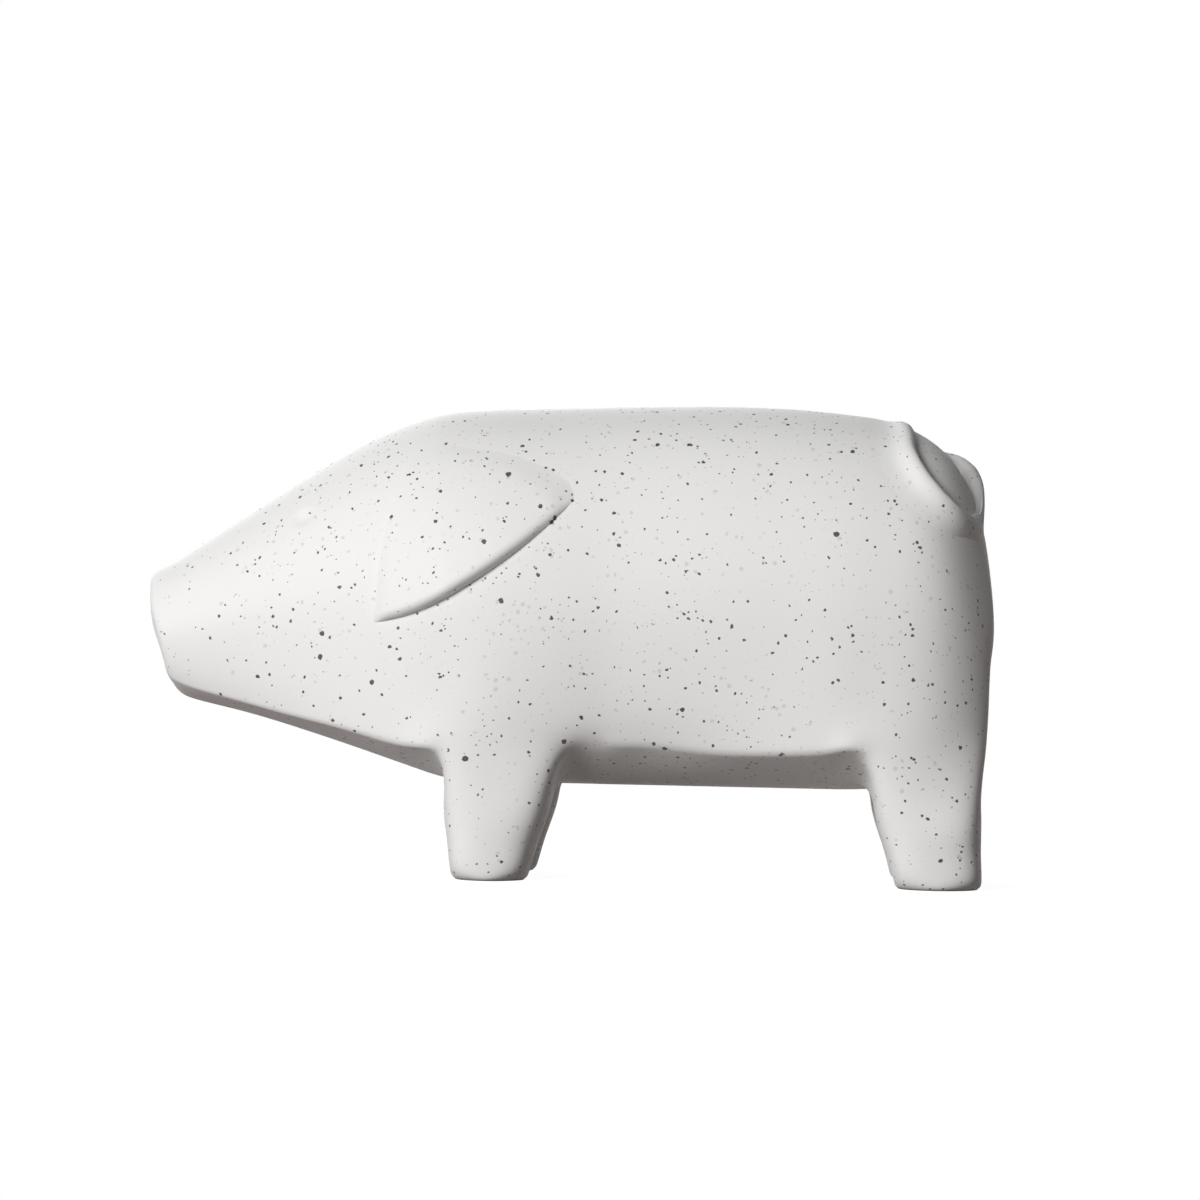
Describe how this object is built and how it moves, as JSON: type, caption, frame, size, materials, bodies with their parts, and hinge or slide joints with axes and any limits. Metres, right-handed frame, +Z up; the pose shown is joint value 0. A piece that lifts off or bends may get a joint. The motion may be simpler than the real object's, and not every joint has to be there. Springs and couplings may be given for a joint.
{
  "type": "pig figurine",
  "caption": "Standing pig ornament in matte speckled white stoneware: hollow cast trunk with a long flat-ended snout, stout legs, lop ears laid on the cheeks and a curled tail.",
  "frame": {"origin": "on the floor, under the middle of the body's length and width", "axes": "+X from the snout to the rump, +Y to the pig's right, +Z up"},
  "size_m": [0.2508, 0.0942, 0.1399],
  "materials": {
    "speckled_glaze": "matte off-white glaze with small dark and tan specks, bare clay at the soles"
  },
  "bodies": {
    "root": {"trunk": "speckled_glaze", "leg_front_left": "speckled_glaze", "leg_front_right": "speckled_glaze", "leg_hind_left": "speckled_glaze", "leg_hind_right": "speckled_glaze", "ear_left": "speckled_glaze", "ear_right": "speckled_glaze", "tail": "speckled_glaze"}
  },
  "joints": []
}
